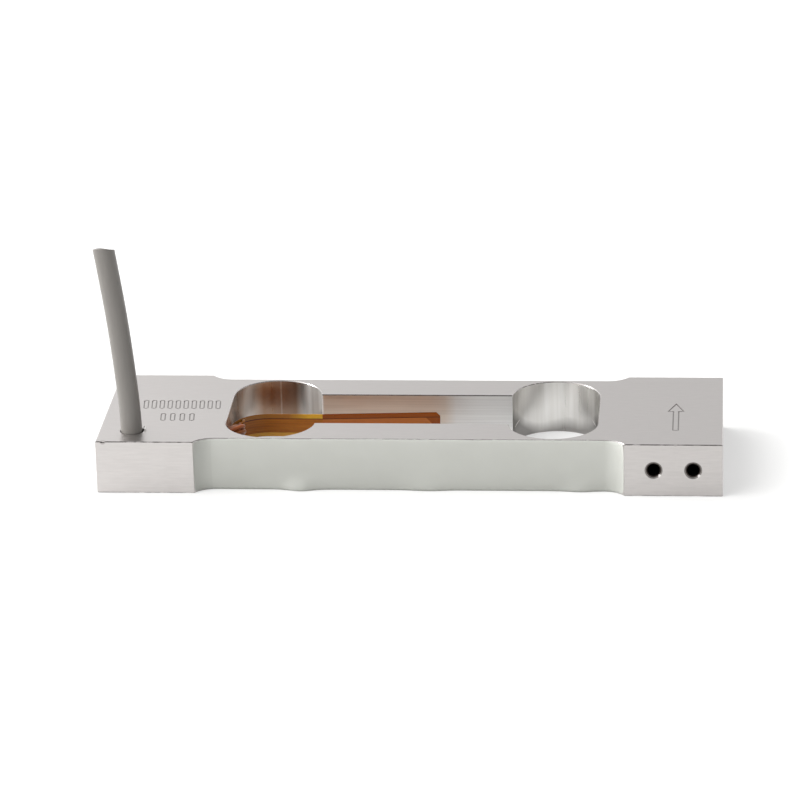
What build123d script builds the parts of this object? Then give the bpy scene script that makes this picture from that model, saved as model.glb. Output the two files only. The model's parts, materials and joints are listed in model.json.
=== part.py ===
from build123d import *
import os
from math import cos, radians, sin, sqrt, tan

# Strain gauge load cell, lying on its side as it is stored.
# X runs along the beam, -Y is the front face, and the origin is the centre of the bottom face.
os.makedirs("parts", exist_ok=True)

# Beam
beam_length = 160.0
beam_width = 50.0
beam_thickness = 14.0
end_block_length = 25.0
waist_recess = 3.0
cove_radius = 6.0
window_width = 23.0
window_from_block = 7.0
web_thickness = 0.9
slot_width = 21.0
edge_break = 0.2

# Threaded fixing holes, two in each end block, on opposite faces
fixing_hole_pitch = 10.0
fixing_hole_bore = 3.3
fixing_hole_mouth = 4.7
fixing_hole_mouth_angle = 120.0
fixing_hole_depth = 12.0

# Marks engraved in the top face: the load arrow in outline, and rows of noughts
mark_depth = 0.15
mark_stroke = 0.32
arrow_offset = 0.4
arrow_tip_y = 5.1
arrow_length = 19.8
arrow_head_length = 6.1
arrow_head_width = 4.4
arrow_shaft_width = 1.7
nought_width = 1.4
nought_lean = 5.0
nought_rows = [(6.6, 2.5, 10, 2.1, 6.2), (6.5, -6.8, 4, 2.5, 5.4)]  # x offset, y, count, pitch, height

# Dents in the front top edge: place along it, radius, and how far off the edge the centre is
edge_dents = [(-78.1, 0.9, 0.35), (68.0, 0.45, 0.2)]

# Cable hole and the drilled passages for wires
cable_hole_diameter = 6.2
cable_hole_depth = 11.5
cable_hole_from_end = 8.5
cable_hole_from_front = 8.0
passage_diameter = 3.5
passage_start_height = 4.6
passage_mouth_y = -8.1
passage_mouth_height = 10.2
passage_entry = 4.0
passage_exit = 4.0
wire_hole_diameter = 2.6
wire_hole_x = 8.6
wire_hole_height = 4.5

# Cable, from its jacket inwards
cable_diameter = 5.5
jacket_wall = 1.0
shield_wall = 0.2
conductor_diameter = 1.1
core_diameter = 0.5
conductor_offset = 0.62
conductor_bend_radius = 1.6
core_bend_radius = 1.0
conductor_turn_rise = 0.74
stripped_length = 0.4
cable_end_height = 8.0
cut_tilt = 18.2
sealant_height = 9.5

# Flexible circuit, bent into a U along the slot and round the left window
film_thickness = 0.15
film_width = 6.2
film_bottom = 2.3
film_reach = 6.0
film_bend_radius = 9.0
film_skew = 0.75
film_corner = 1.0
copper_thickness = 0.04
trace_count = 5
trace_width = 0.52
trace_pitch = 0.74
trace_margin = 1.1
trace_setback = 3.0
trace_corner = 0.26

# Solder joints and resistors on the flexible circuit
joint_radius = 0.6
joint_pitch = 1.27
joint_top_height = 7.7
joint_angle = 138.0
stripped_angle = 154.0
touchdown_angle = 184.0
inner_wire_gap = 0.75
outer_wire_gap = 1.75
core_seat_gap = 0.05
resistor_length = 2.0
resistor_width = 1.25
resistor_thickness = 0.5
resistor_spacing = 6.0
resistor_corner = 0.1

# Strain gauges and their wires
carrier_length = 9.6
carrier_height = 6.4
carrier_corner = 0.6
carrier_thickness = 0.08
foil_thickness = 0.03
grid_length = 3.4
strand_width = 0.25
strand_pitch = 0.45
strand_count = 8
tab_size = 1.3
tab_spacing = 2.8
tab_gap = 0.85
lead_diameter = 0.3
lead_clearance = 0.06
lead_spread = 0.6
lead_crossing = 0.45
wire_spread = 0.24
pads_near_end = 2.2
pads_far_from_end = 1.2
lead_bend_radius = 0.4
tab_dot_radius = 0.5
pad_dot_radius = 0.33

# Silicone over the waist
potting_edge = 0.15
potting_middle = 0.9
potting_overlap = 0.4

# Derived places
beam_half = beam_length / 2
face_y = beam_width / 2
waist_half = beam_half - end_block_length
waist_y = face_y - waist_recess
cove_run = sqrt(cove_radius**2 - (cove_radius - waist_recess) ** 2)
window_x = waist_half - window_from_block - window_width / 2
window_reach = waist_y - web_thickness
slot_y = slot_width / 2
end_block_x = beam_half - end_block_length / 2
mid_height = beam_thickness / 2
cable_x = -beam_half + cable_hole_from_end
cable_y = -face_y + cable_hole_from_front
left_wall_x = -window_x - window_width / 2
slot_start = window_width / 2 - window_x
dome_align = (Align.CENTER, Align.CENTER, Align.MIN)
shield_radius = cable_diameter / 2 - jacket_wall
bundle_radius = shield_radius - shield_wall


# Beam body


def arrow_outline():
    """Outline of the load arrow, which points to the back face."""
    x = end_block_x + arrow_offset
    barbs_y = arrow_tip_y - arrow_head_length
    tail_y = arrow_tip_y - arrow_length
    with BuildLine() as outline:
        Polyline(
            (x, arrow_tip_y),
            (x + arrow_head_width / 2, barbs_y),
            (x + arrow_shaft_width / 2, barbs_y),
            (x + arrow_shaft_width / 2, tail_y),
            (x, tail_y),
        )
        mirror(about=Plane((x, 0, 0), z_dir=(1, 0, 0)))
    return outline.line


def waist_notch(inner_y, side=-1):
    """Area cut from one side of the beam, between its face and the waist with its two coves."""
    with BuildSketch() as notch:
        with BuildLine():
            right = TangentArc(
                (waist_half - cove_run, side * inner_y), (waist_half, side * face_y), tangent=(1, 0)
            )
            left = TangentArc(
                (cove_run - waist_half, side * inner_y), (-waist_half, side * face_y), tangent=(-1, 0)
            )
            Line(left @ 0, right @ 0)
            Line(left @ 1, right @ 1)
        make_face()
    return notch.sketch


front_face = Plane((end_block_x, -face_y, mid_height), x_dir=(1, 0, 0), z_dir=(0, -1, 0))
back_face = Plane((-end_block_x, face_y, mid_height), x_dir=(-1, 0, 0), z_dir=(0, 1, 0))
passage_start = Vector(cable_x, cable_y, passage_start_height)
passage_mouth = Vector(left_wall_x, passage_mouth_y, passage_mouth_height)
passage_length = (passage_mouth - passage_start).length
passage_direction = (passage_mouth - passage_start).normalized()

with BuildPart() as beam_body:
    with BuildSketch():
        Rectangle(beam_length, beam_width)
        add(waist_notch(waist_y), mode=Mode.SUBTRACT)
        add(waist_notch(waist_y, side=1), mode=Mode.SUBTRACT)
        with Locations((-window_x, 0), (window_x, 0)):
            SlotOverall(2 * window_reach, window_width, rotation=90, mode=Mode.SUBTRACT)
        Rectangle(2 * window_x, slot_width, mode=Mode.SUBTRACT)
    extrude(amount=beam_thickness)
    rims = beam_body.faces().sort_by(Axis.Z)
    chamfer(rims[0].edges() + rims[-1].edges(), length=edge_break)
    # Threaded holes: load end in front, fixed end at the back
    for face in (front_face, back_face):
        with Locations(face):
            with GridLocations(fixing_hole_pitch, 0, 2, 1):
                CounterSinkHole(
                    fixing_hole_bore / 2,
                    fixing_hole_mouth / 2,
                    fixing_hole_depth,
                    fixing_hole_mouth_angle,
                )
    # Blind hole for the cable, and the slanted passage from it to the left window
    with Locations((cable_x, cable_y, beam_thickness)):
        Hole(cable_hole_diameter / 2, depth=cable_hole_depth)
    with BuildSketch(Plane(passage_start, z_dir=passage_direction)):
        Circle(passage_diameter / 2)
    extrude(amount=passage_length + passage_diameter, mode=Mode.SUBTRACT)
    # Wire hole drilled straight across both thick arms
    with BuildSketch(Plane.XZ):
        with Locations((wire_hole_x, wire_hole_height)):
            Circle(wire_hole_diameter / 2)
    extrude(amount=face_y, both=True, mode=Mode.SUBTRACT)
    # Engraved marks
    with BuildSketch(Plane((0, 0, beam_thickness))):
        with BuildLine():
            add(arrow_outline())
        make_face()
        offset(amount=-mark_stroke, kind=Kind.INTERSECTION, mode=Mode.SUBTRACT)
        for from_middle, row_y, count, pitch, height in nought_rows:
            with Locations((from_middle - end_block_x, row_y)):
                with GridLocations(pitch, 0, count, 1):
                    SlotOverall(height, nought_width, rotation=90 + nought_lean)
                    SlotOverall(
                        height - 2 * mark_stroke,
                        nought_width - 2 * mark_stroke,
                        rotation=90 + nought_lean,
                        mode=Mode.SUBTRACT,
                    )
    extrude(amount=-mark_depth, mode=Mode.SUBTRACT)
    # Dents
    for dent_x, radius, off_edge in edge_dents:
        with Locations((dent_x, -face_y - off_edge, beam_thickness + off_edge)):
            Sphere(radius, mode=Mode.SUBTRACT)
beam_body.part.label = "beam_body"
export_step(beam_body.part, "parts/beam_body.step")


# Flexible circuit


def rise_along_slot(x):
    """How far the circuit has risen at a place along the slot: it was stuck down slightly askew."""
    return film_skew * (x - slot_start) / (film_reach - slot_start)


def band_solids(bands):
    """Side view of the circuit's bands: level in the window, rising a little along the slot."""
    with BuildPart() as side_view:
        for low, high, end_x, corner in bands:
            rise = rise_along_slot(end_x)
            corner_rise = rise_along_slot(end_x - corner)
            with BuildSketch(Plane.XZ):
                with BuildLine():
                    Polyline(
                        (left_wall_x, low),
                        (slot_start, low),
                        (end_x, low + rise),
                        (end_x, high + rise - corner),
                        (end_x - corner, high + corner_rise),
                        (slot_start, high),
                        (left_wall_x, high),
                        close=True,
                    )
                make_face()
            extrude(amount=face_y, both=True)
    return side_view.part


def u_layer(inset, thickness, bands):
    """A thin layer bent into the U, at a depth from the slot's wall, with the outline of its bands."""
    middle = inset + thickness / 2
    with BuildPart() as layer:
        with BuildSketch():
            with BuildLine():
                FilletPolyline(
                    (film_reach, slot_y - middle),
                    (left_wall_x + middle, slot_y - middle),
                    (left_wall_x + middle, middle - slot_y),
                    (film_reach, middle - slot_y),
                    radius=film_bend_radius - middle,
                )
            trace(line_width=thickness)
        extrude(amount=beam_thickness)
        add(band_solids(bands), mode=Mode.INTERSECT)
    return layer.part


film_top = film_bottom + film_width
with BuildPart() as flex_film:
    add(u_layer(0, film_thickness, [(film_bottom, film_top, film_reach, film_corner)]))
flex_film.part.label = "flex_film"
export_step(flex_film.part, "parts/flex_film.step")

trace_bands = []
for index in range(trace_count):
    trace_low = film_bottom + trace_margin + index * trace_pitch
    below_top = (trace_count - 1 - index) * trace_pitch
    trace_end = film_reach - trace_setback - max(0.0, film_corner - below_top)
    trace_bands.append((trace_low, trace_low + trace_width, trace_end, trace_corner))
with BuildPart() as flex_traces:
    add(u_layer(film_thickness, copper_thickness, trace_bands))
flex_traces.part.label = "flex_traces"
export_step(flex_traces.part, "parts/flex_traces.step")

# Two chip resistors soldered across the traces, on the half of the circuit against the front arm
circuit_y = slot_y - film_thickness - copper_thickness
resistor_row = 3
resistor_height = film_bottom + trace_margin + resistor_row * trace_pitch
resistor_plane = Plane((0, -circuit_y, resistor_height), x_dir=(1, 0, 0), z_dir=(0, 1, 0))
with BuildPart() as trim_resistors:
    with Locations(resistor_plane):
        with Locations((-resistor_spacing, 0), (-2 * resistor_spacing, 0)):
            Box(resistor_length, resistor_width, resistor_thickness, align=dome_align)
    chamfer(trim_resistors.edges().filter_by(Axis.Y), length=resistor_corner)
trim_resistors.part.label = "trim_resistors"
export_step(trim_resistors.part, "parts/trim_resistors.step")


# Cable


def corner_radii(points):
    """The largest arcs that the runs of a cord's route allow, one for each corner."""
    radii = []
    for before, corner, after in zip(points, points[1:], points[2:]):
        run_in = corner - before
        run_out = after - corner
        shorter = min(run_in.length, run_out.length)
        radii.append(0.45 * shorter / tan(radians(run_in.get_angle(run_out) / 2)))
    return radii


def swept_ring(points, radii, outer, inner=0.0):
    """A round rod or tube along straight runs joined by tangent arcs."""
    with BuildPart() as rod:
        with BuildLine() as route:
            if radii:
                FilletPolyline(*points, radius=radii)
            else:
                Line(*points)
        with BuildSketch(Plane(route.line @ 0, z_dir=route.line % 0)):
            Circle(outer)
            if inner:
                Circle(inner, mode=Mode.SUBTRACT)
        sweep(path=route.line)
    return rod.part


# Route of the cable's centre line, from its end inside the blind hole upwards. Above the beam it
# leans away from the end block, more and more towards its cut end.
cable_exit = Vector(cable_x, cable_y, beam_thickness)
cable_route = [
    Vector(cable_x + 0.08, cable_y, cable_end_height),
    cable_exit + Vector(-0.12, 0, 3.5),
    cable_exit + Vector(-1.05, 0, 16.0),
    cable_exit + Vector(-2.4, 0, 29.5),
    cable_exit + Vector(-4.15, 0, 42.5),
    cable_exit + Vector(-5.5, 0, 51.5),
]
cable_radii = corner_radii(cable_route)
print("cable arc radii", [round(radius, 1) for radius in cable_radii])
cable_top = cable_exit + Vector(-4.8, 0, 49.0)
cut_plane = Plane(cable_top, z_dir=Vector(0, sin(radians(cut_tilt)), cos(radians(cut_tilt))))

with BuildPart() as cable_jacket:
    add(swept_ring(cable_route, cable_radii, cable_diameter / 2, shield_radius))
    split(bisect_by=cut_plane, keep=Keep.BOTTOM)
cable_jacket.part.label = "cable_jacket"
export_step(cable_jacket.part, "parts/cable_jacket.step")

with BuildPart() as cable_shield:
    add(swept_ring(cable_route, cable_radii, shield_radius, bundle_radius))
    split(bisect_by=cut_plane, keep=Keep.BOTTOM)
cable_shield.part.label = "cable_shield"
export_step(cable_shield.part, "parts/cable_shield.step")

# The four cores leave the cable in its hole, turn into the passage, cross over the film's edge
# and come down its inner face to one solder joint each
passage_side = Vector(0, 0, 1).cross(passage_direction).normalized()
passage_up = passage_direction.cross(passage_side)
bend_centre = Vector(left_wall_x + film_bend_radius, slot_y - film_bend_radius, 0)
inner_face_radius = film_bend_radius - film_thickness - copper_thickness


def beside_film(angle, gap, height):
    """A point at a gap inside the film's far bend."""
    reach = inner_face_radius - gap
    return bend_centre + Vector(reach * cos(radians(angle)), reach * sin(radians(angle)), height)


# Colour, side of the bundle in x and y, and place of the joint counted from the top
core_plan = [
    ("red", 1, -1, 0),
    ("white", 1, 1, 1),
    ("green", -1, -1, 2),
    ("black", -1, 1, 3),
]
insulated_wires = []
core_solids = []
joint_planes = []
for colour, side_x, side_y, place in core_plan:
    offset = Vector(side_x * conductor_offset, side_y * conductor_offset, 0)
    in_passage = passage_up * (side_x * conductor_offset) + passage_side * (side_y * conductor_offset)
    lowest_z = passage_start_height + side_x * conductor_turn_rise
    joint_height = joint_top_height - place * joint_pitch
    clear_gap = inner_wire_gap if side_y > 0 else outer_wire_gap
    runs = [point + offset for point in reversed(cable_route[1:])]
    turn_point = passage_length + passage_exit - side_y * conductor_offset
    runs += [
        Vector(cable_route[0].X, cable_route[0].Y, lowest_z) + offset,
        passage_start + passage_direction * passage_entry + in_passage,
        passage_start + passage_direction * turn_point + in_passage,
        beside_film(touchdown_angle, clear_gap, joint_height),
    ]
    stripped_end = beside_film(stripped_angle, inner_wire_gap, joint_height)
    approach = (stripped_end - runs[-1]).normalized()
    radii = corner_radii(runs[: len(cable_route)]) + 4 * [conductor_bend_radius]
    insulation_end = stripped_end - approach * stripped_length
    insulated_wires.append(swept_ring(runs + [insulation_end], radii, conductor_diameter / 2))
    joint_centre = beside_film(joint_angle, -copper_thickness - film_thickness / 2, joint_height)
    core_end = beside_film(joint_angle, core_diameter / 2 + core_seat_gap, joint_height)
    core_radii = radii + [core_bend_radius]
    core_solids.append(swept_ring(runs + [stripped_end, core_end], core_radii, core_diameter / 2))
    towards_centre = bend_centre + Vector(0, 0, joint_height) - joint_centre
    joint_planes.append(Plane(joint_centre, z_dir=towards_centre))

with BuildPart() as conductor_cores:
    for core in core_solids:
        add(core)
    split(bisect_by=cut_plane, keep=Keep.BOTTOM)
conductor_cores.part.label = "conductor_cores"
export_step(conductor_cores.part, "parts/conductor_cores.step")

for (colour, side_x, side_y, place), insulated in zip(core_plan, insulated_wires):
    with BuildPart() as conductor:
        add(insulated)
        add(conductor_cores.part, mode=Mode.SUBTRACT)
        split(bisect_by=cut_plane, keep=Keep.BOTTOM)
    conductor.part.label = "conductor_" + colour
    export_step(conductor.part, "parts/conductor_" + colour + ".step")

with BuildPart() as conductor_solder:
    for plane in joint_planes:
        with Locations(plane):
            Sphere(joint_radius, arc_size1=0, align=dome_align)
    add(conductor_cores.part, mode=Mode.SUBTRACT)
    add(flex_film.part, mode=Mode.SUBTRACT)
    add(flex_traces.part, mode=Mode.SUBTRACT)
conductor_solder.part.label = "conductor_solder"
export_step(conductor_solder.part, "parts/conductor_solder.step")

with BuildPart() as cable_sealant:
    with BuildSketch(Plane.XY.offset(beam_thickness - cable_hole_depth)):
        with Locations((cable_x, cable_y)):
            Circle(cable_hole_diameter / 2)
    extrude(amount=sealant_height - beam_thickness + cable_hole_depth)
    add(cable_jacket.part, mode=Mode.SUBTRACT)
    add(cable_shield.part, mode=Mode.SUBTRACT)
    for insulated in insulated_wires:
        add(insulated, mode=Mode.SUBTRACT)
cable_sealant.part.label = "cable_sealant"
export_step(cable_sealant.part, "parts/cable_sealant.step")


# Strain gauges, with one carrier and one foil grid over the thinnest web at each window


def gauge_plane(side, end, height=0.0):
    """Plane on the waist over a window, facing outwards, at a height above the metal."""
    return Plane(
        (end * window_x, side * (waist_y + height), mid_height), x_dir=(1, 0, 0), z_dir=(0, side, 0)
    )


def foil_outline(end):
    """A meander of strands, with its two solder tabs on the side nearer the beam's middle."""
    outer_strand = strand_pitch * (strand_count - 1) / 2
    inward = -end
    with BuildSketch() as foil:
        with GridLocations(0, strand_pitch, 1, strand_count):
            Rectangle(grid_length, strand_width)
        for index in range(strand_count - 1):
            loop_side = -inward if index % 2 == 0 else inward
            with Locations((loop_side * grid_length / 2, (index + 0.5) * strand_pitch - outer_strand)):
                Rectangle(2 * strand_width, strand_pitch + strand_width)
        for row in (-1, 1):
            with Locations((inward * (grid_length + tab_gap) / 2, row * outer_strand)):
                Rectangle(tab_gap + strand_width, strand_width)
            with Locations((inward * (grid_length / 2 + tab_gap + tab_size / 2), row * tab_spacing / 2)):
                Rectangle(tab_size, tab_size)
    return foil.sketch


tab_x = window_x - grid_length / 2 - tab_gap - tab_size / 2
sides = {"front": -1, "back": 1}
ends = {"left": -1, "right": 1}
carriers = {side_name: [] for side_name in sides}
grids = {side_name: [] for side_name in sides}
for side_name, side in sides.items():
    for end_name, end in ends.items():
        with BuildPart() as gauge_carrier:
            with BuildSketch(gauge_plane(side, end)):
                RectangleRounded(carrier_length, carrier_height, carrier_corner)
            extrude(amount=carrier_thickness)
        with BuildPart() as gauge_grid:
            with BuildSketch(gauge_plane(side, end, carrier_thickness)):
                add(foil_outline(end))
            extrude(amount=foil_thickness)
        carriers[side_name].append(gauge_carrier.part)
        grids[side_name].append(gauge_grid.part)
        place_name = side_name + "_" + end_name
        gauge_carrier.part.label = "gauge_carrier_" + place_name
        export_step(gauge_carrier.part, "parts/gauge_carrier_" + place_name + ".step")
        gauge_grid.part.label = "gauge_grid_" + place_name
        export_step(gauge_grid.part, "parts/gauge_grid_" + place_name + ".step")

# Wires from the gauges: along the waist, through the wire hole and back to the circuit's end pads.
# One jumper joins the two gauges of a side, and three leads go through the arm.
foil_top = carrier_thickness + foil_thickness
lead_y = waist_y + foil_top + lead_clearance + lead_diameter / 2
pad_y = circuit_y - lead_clearance - lead_diameter / 2
upper_tab = mid_height + tab_spacing / 2
lower_tab = mid_height - tab_spacing / 2
lowest_pad = film_bottom + trace_margin + trace_width / 2
pads = [
    (pad_x, lowest_pad + row * trace_pitch + rise_along_slot(pad_x))
    for row, pad_x in enumerate((pads_near_end, pads_far_from_end, pads_near_end))
]
# Each lead: its gauge tab, its place in the wire hole, its extra depth where it leaves the hole,
# and its pad on the circuit
lead_plan = [
    ((-tab_x, lower_tab), (-lead_spread, -lead_spread / 2), 0.0, pads[0]),
    ((tab_x, lower_tab), (lead_spread, -lead_spread / 2), lead_crossing, pads[1]),
    ((-tab_x, upper_tab - wire_spread), (0.0, lead_spread), 0.0, pads[2]),
]


def lead_wires(side):
    """Three leads and the jumper of one side."""
    jumper_ends = [Vector(end * tab_x, side * lead_y, upper_tab + wire_spread) for end in (-1, 1)]
    with BuildPart() as group:
        add(swept_ring(jumper_ends, [], lead_diameter / 2))
        for (start_x, start_z), (step_x, step_z), depth, (pad_x, pad_z) in lead_plan:
            hole_x = wire_hole_x + step_x
            hole_z = wire_hole_height + step_z
            route = [
                Vector(start_x, side * lead_y, start_z),
                Vector(hole_x, side * lead_y, hole_z),
                Vector(hole_x, side * (pad_y - lead_clearance - depth), hole_z),
                Vector(pad_x, side * pad_y, pad_z),
            ]
            add(swept_ring(route, 2 * [lead_bend_radius], lead_diameter / 2))
    return group.part


def solder_dots(side):
    """Dots on the gauges' tabs and on the circuit's end pads of one side."""
    tab_plane = Plane((0, side * (waist_y + foil_top), 0), x_dir=(1, 0, 0), z_dir=(0, side, 0))
    pad_plane = Plane((0, side * circuit_y, 0), x_dir=(1, 0, 0), z_dir=(0, -side, 0))
    with BuildPart() as dots:
        with Locations(tab_plane):
            for x in (-tab_x, tab_x):
                for z in (lower_tab, upper_tab):
                    with Locations((x, -side * z)):
                        Sphere(tab_dot_radius, arc_size1=0, align=dome_align)
        with Locations(pad_plane):
            for x, z in pads:
                with Locations((x, side * z)):
                    Sphere(pad_dot_radius, arc_size1=0, align=dome_align)
    return dots.part


leads = {side_name: lead_wires(side) for side_name, side in sides.items()}
dots = {side_name: solder_dots(side) for side_name, side in sides.items()}
for side_name in sides:
    with BuildPart() as lead_group:
        add(leads[side_name])
    lead_group.part.label = "lead_wires_" + side_name
    export_step(lead_group.part, "parts/lead_wires_" + side_name + ".step")
    with BuildPart() as gauge_solder:
        add(dots[side_name])
        add(leads[side_name], mode=Mode.SUBTRACT)
    gauge_solder.part.label = "gauge_solder_" + side_name
    export_step(gauge_solder.part, "parts/gauge_solder_" + side_name + ".step")


# Silicone over the waist, thin at its edges and crowned at mid height, with runs at its lower edge.
# Each run: its place along the beam, and its width, reach and height.
front_drips = [(8.7 - window_x, 8.5, 2.3, 4.5), (5.0, 6.6, 0.8, 3.5), (window_x + 7.0, 7.0, 0.6, 3.0)]
back_drips = [(22.5 - window_x, 6.0, 0.8, 3.0), (window_x - 15.5, 7.5, 1.2, 3.5)]


def potting_section(height, thickness, side):
    """Plan of the silicone at one height: its outer line with both coves, and a line in the metal."""
    with BuildSketch(Plane.XY.offset(height)) as section:
        with BuildLine():
            outer_y = side * (waist_y + thickness)
            corner = (waist_half, side * face_y)
            right = TangentArc((waist_half - cove_run, outer_y), corner, tangent=(1, 0))
            corner = (-waist_half, side * face_y)
            left = TangentArc((cove_run - waist_half, outer_y), corner, tangent=(-1, 0))
            inner_y = side * (waist_y - potting_overlap)
            Line(left @ 0, right @ 0)
            Polyline(right @ 1, (waist_half, inner_y), (-waist_half, inner_y), left @ 1)
        make_face()
    return section.sketch


def drip_shoulder(radius, reach, height):
    """The middle of a drip's rounded flank, bulging past the straight line from foot to top."""
    return radius - 0.3 * reach, 0.62 * height


def silicone_drip(x, width, reach, height, side):
    """A run of silicone at the lower edge, round in plan and rounded off towards its top."""
    radius = (width**2 / 4 + reach**2) / (2 * reach)
    centre_y = side * (waist_y + potting_edge + reach - radius)
    with BuildPart() as drip:
        with BuildSketch(Plane((x, centre_y, 0), x_dir=(0, side, 0), z_dir=(side, 0, 0))):
            with BuildLine():
                Line((0, 0), (radius, 0))
                ThreePointArc((radius, 0), drip_shoulder(radius, reach, height), (radius - reach, height))
                Line((radius - reach, height), (0, height))
                Line((0, height), (0, 0))
            make_face()
        revolve(axis=Axis((x, centre_y, 0), (0, 0, 1)))
        split(bisect_by=Plane((x, side * (waist_y - potting_overlap), 0), z_dir=(0, side, 0)))
    return drip.part


def potting_layer(side_name, drips):
    """The whole layer of one side, with room for the gauges, their solder and their wires."""
    side = sides[side_name]
    with BuildPart() as layer:
        loft(
            [
                potting_section(0, potting_edge, side),
                potting_section(mid_height, potting_middle, side),
                potting_section(beam_thickness, potting_edge, side),
            ]
        )
        for x, width, reach, height in drips:
            add(silicone_drip(x, width, reach, height, side))
        add(beam_body.part, mode=Mode.SUBTRACT)
        for piece in carriers[side_name] + grids[side_name] + [dots[side_name], leads[side_name]]:
            add(piece, mode=Mode.SUBTRACT)
    return layer.part


for side_name, drips in (("front", front_drips), ("back", back_drips)):
    with BuildPart() as potting:
        add(potting_layer(side_name, drips))
    potting.part.label = "potting_" + side_name
    export_step(potting.part, "parts/potting_" + side_name + ".step")
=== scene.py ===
import json
from math import cos, exp, pi, radians, sin, sqrt
import bmesh
import bpy
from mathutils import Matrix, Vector, noise


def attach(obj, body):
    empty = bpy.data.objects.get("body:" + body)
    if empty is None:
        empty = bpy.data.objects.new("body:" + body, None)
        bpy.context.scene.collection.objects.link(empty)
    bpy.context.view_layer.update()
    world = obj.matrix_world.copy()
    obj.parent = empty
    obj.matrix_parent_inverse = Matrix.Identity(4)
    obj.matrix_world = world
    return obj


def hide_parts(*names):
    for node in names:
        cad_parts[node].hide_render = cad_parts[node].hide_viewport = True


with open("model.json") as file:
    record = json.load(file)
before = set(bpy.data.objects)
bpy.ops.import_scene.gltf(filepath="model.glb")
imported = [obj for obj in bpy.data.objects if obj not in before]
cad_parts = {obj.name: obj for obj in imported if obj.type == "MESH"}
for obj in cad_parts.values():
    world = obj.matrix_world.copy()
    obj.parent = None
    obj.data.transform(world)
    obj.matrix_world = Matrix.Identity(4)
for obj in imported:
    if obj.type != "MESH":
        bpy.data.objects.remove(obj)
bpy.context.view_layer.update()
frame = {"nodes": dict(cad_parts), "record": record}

scene = bpy.context.scene
scene.view_settings.view_transform = "Standard"
nodes = frame["nodes"]
mm = 0.001


# turns an sRGB hex code into the linear colour that a shader reads
def linearColour(hexCode):
    channels = [int(hexCode[place:place + 2], 16) / 255 for place in (1, 3, 5)]
    return [c / 12.92 if c <= 0.04045 else ((c + 0.055) / 1.055) ** 2.4 for c in channels] + [1.0]


# adds a node: a value that is a node or a socket becomes a link, any other a setting
def addNode(tree, kind, settings):
    node = tree.nodes.new(kind)
    for name, value in settings.items():
        source = value.outputs[0] if isinstance(value, bpy.types.Node) else value
        if isinstance(source, bpy.types.NodeSocket):
            tree.links.new(source, node.inputs[name])
        elif isinstance(name, int) or name in node.inputs:
            node.inputs[name].default_value = source
        else:
            setattr(node, name, source)
    return node


# a new material, its tree, its shader, and its object coordinates in millimetres
def startMaterial(name, settings):
    material = bpy.data.materials.new(name)
    material.use_nodes = True
    tree = material.node_tree
    shader = tree.nodes["Principled BSDF"]
    for socket, value in settings.items():
        shader.inputs[socket].default_value = value
    texture = addNode(tree, "ShaderNodeTexCoord", {})
    place = addNode(tree, "ShaderNodeVectorMath",
                    {"operation": "SCALE", 0: texture.outputs["Object"], "Scale": 1000.0})
    return material, tree, shader, place


# puts a finished bmesh into the scene as a piece that rides on the beam
def addPiece(name, bm, material):
    mesh = bpy.data.meshes.new(name)
    bm.to_mesh(mesh)
    bm.free()
    for face in mesh.polygons:
        face.use_smooth = True
    mesh.materials.append(material)
    piece = bpy.data.objects.new(name, mesh)
    scene.collection.objects.link(piece)
    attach(piece, "root")
    return piece


# Camera: the photograph's, a long lens a metre away, a little to the right and above
cameraLook = {
    "place": (80.333 * mm, -1018.239 * mm, 393.537 * mm),
    "turn": (69.738, 1.271, 4.244),  # degrees
    "lens": 188.888, "sensor": 36, "farthest": 20,
}
cameraData = bpy.data.cameras.new("productCamera")
cameraData.lens = cameraLook["lens"]
cameraData.sensor_width = cameraLook["sensor"]
cameraData.clip_end = cameraLook["farthest"]
camera = bpy.data.objects.new("productCamera", cameraData)
camera.location = cameraLook["place"]
camera.rotation_euler = [radians(angle) for angle in cameraLook["turn"]]
scene.collection.objects.link(camera)
scene.camera = camera
print("camera set")


# Studio: a white room that gets darker overhead, lit mostly from the left, with a soft box above
studio = {
    "horizon": 1.0,        # level of the room as the camera and the metal see it
    "ceilingLeft": 0.7, "ceilingRight": 0.32,
    "ceilingSpan": (-0.6, 0.35), "ceilingRise": (0.33, 0.75),  # directions, from edge to full
    "lightLeft": 3.6,      # level of the room's own light on the object
    "lightRight": 0.45,
    "lightFrom": (-0.99, 0.1, 0.1), "lightSpan": (0.1, 1.0),
    "floorSize": 6.0, "floorDrop": 0.02 * mm,
    "glowNear": 0.45,      # the rest of the floor's white comes from the lamps, so that it keeps a shadow
    "glowFar": 0.9,
    "glowReach": (350.0, 1200.0),  # mm, as the next three
    "shadeMiddle": (-36.5, 0, 0), "shadeReach": (17.0, 24.0), "shadeLevel": 0.8,  # under the bent film
    "metalSpan": (-80.0, 80.0), "metalRight": 0.6,
    "lamps": [
        # name, place, target, width, height, watts
        ("leftSoftbox", (-0.95, -0.6, 0.8), (0, 0, 0.02), 1.4, 1.2, 6.5),
        ("rimLamp", (-0.9, 0.31, 0.73), (0, 0, 0.02), 0.25, 0.25, 2.5),
        ("backStrip", (-0.35, 0.6, 0.5), (-0.03, 0, 0), 0.5, 0.25, 0.4),
    ],
}
world = bpy.data.worlds.new("studioWorld")
scene.world = world
world.use_nodes = True
world.cycles.sampling_method = "NONE"  # so that metal never picks up the left light as a glare
tree = world.node_tree
tree.nodes.clear()
ray = addNode(tree, "ShaderNodeLightPath", {})
seen = addNode(tree, "ShaderNodeMath", {"operation": "MAXIMUM", 0: ray.outputs["Is Camera Ray"],
                                        1: ray.outputs["Is Glossy Ray"]})
seen = addNode(tree, "ShaderNodeMath", {"operation": "MAXIMUM", 0: seen, 1: ray.outputs["Is Transmission Ray"]})
sky = addNode(tree, "ShaderNodeTexCoord", {})
direction = addNode(tree, "ShaderNodeSeparateXYZ", {0: sky.outputs["Generated"]})
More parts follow.
